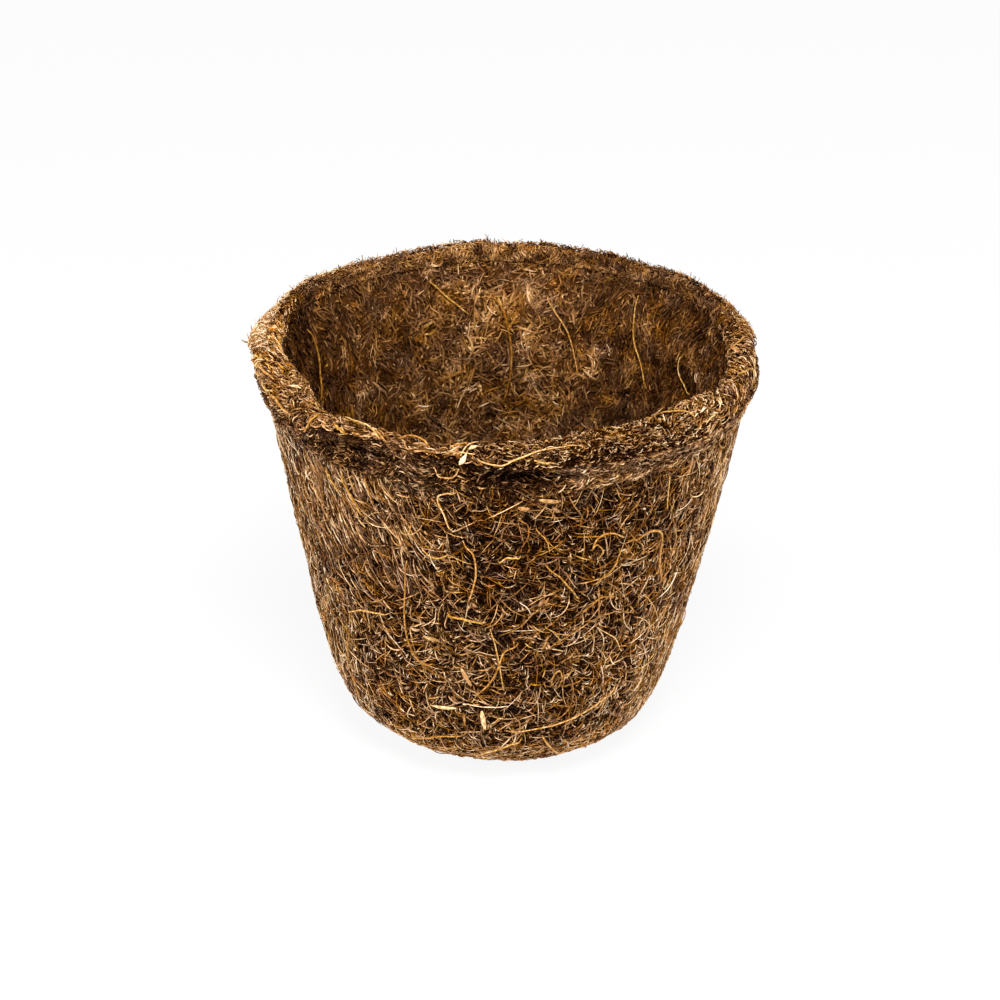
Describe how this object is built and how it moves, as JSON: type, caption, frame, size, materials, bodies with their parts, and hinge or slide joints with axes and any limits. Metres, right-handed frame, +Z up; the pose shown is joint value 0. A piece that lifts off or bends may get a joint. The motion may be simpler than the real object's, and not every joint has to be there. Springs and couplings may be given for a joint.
{
  "type": "coir plant pot",
  "caption": "Small round plant pot pressed from coconut fibre felt, with a tapered wall, a rounded base, a thick ragged lip and loose strands and husk flakes on the felt",
  "frame": {"origin": "centre of the flat underside, where the pot stands", "axes": "+Z up, out of the mouth; -Y towards the side that the picture shows; +X to the right of it"},
  "size_m": [0.0651, 0.0645, 0.0555],
  "materials": {
    "felt": "matt pressed coconut fibre, dark brown between the fibres",
    "fibre_golden": "golden brown fibre with a slight sheen",
    "fibre_pale": "pale straw fibre with a slight sheen",
    "fibre_brown": "dull brown fibre",
    "husk_pale": "dry pale husk",
    "husk_brown": "dry brown husk"
  },
  "bodies": {
    "root": {"felt_shell": "felt", "rim_strand_long": "fibre_pale", "rim_strand_upright": "fibre_golden", "rim_strand_left_thick": "fibre_golden", "rim_strand_lower_edge": "fibre_golden", "rim_strand_upper_edge": "fibre_golden", "rim_strand_hollow": "fibre_golden", "rim_strand_fork": "fibre_golden", "rim_strand_arc_right": "fibre_golden", "rim_strand_right_pale": "fibre_pale", "rim_strand_right_curl": "fibre_golden", "rim_flake_pale": "husk_pale", "rim_flake_small": "husk_pale", "rim_flake_left": "husk_pale", "wall_strand_flake_tail": "fibre_pale", "wall_strand_hook_left": "fibre_golden", "wall_strand_loop": "fibre_golden", "wall_strand_arch": "fibre_golden", "wall_strand_thick": "fibre_golden", "wall_strand_low_left": "fibre_pale", "wall_strand_left_drop": "fibre_golden", "wall_strand_slant_long": "fibre_golden", "wall_strand_slant_short": "fibre_golden", "wall_strand_upright_left": "fibre_brown", "wall_strand_hook_right": "fibre_golden", "wall_strand_arch_right": "fibre_golden", "wall_strand_branch": "fibre_brown", "wall_strand_upright_right": "fibre_pale", "wall_strand_diagonal": "fibre_golden", "wall_strand_bend": "fibre_brown", "wall_strand_short_bend": "fibre_golden", "wall_strand_short_pale": "fibre_pale", "wall_strand_crest": "fibre_golden", "wall_strand_s_curve": "fibre_golden", "wall_strand_tail_right": "fibre_pale", "wall_strand_low_right": "fibre_golden", "wall_strand_loop_low": "fibre_golden", "wall_strand_bend_low": "fibre_golden", "base_strand_long": "fibre_pale", "base_strand_left": "fibre_golden", "base_strand_low": "fibre_pale", "base_strand_drop": "fibre_golden", "base_strand_right": "fibre_golden", "inner_strand_left": "fibre_brown", "inner_strand_back_left": "fibre_golden", "inner_strand_back": "fibre_golden", "inner_strand_back_right": "fibre_golden", "inner_strand_centre": "fibre_brown", "inner_strand_right": "fibre_pale", "husk_chip_front": "husk_brown", "husk_chip_small": "husk_brown", "husk_chip_low": "husk_pale", "husk_chip_left": "husk_brown", "husk_splinter": "husk_pale", "husk_sliver": "husk_brown"}
  },
  "joints": []
}
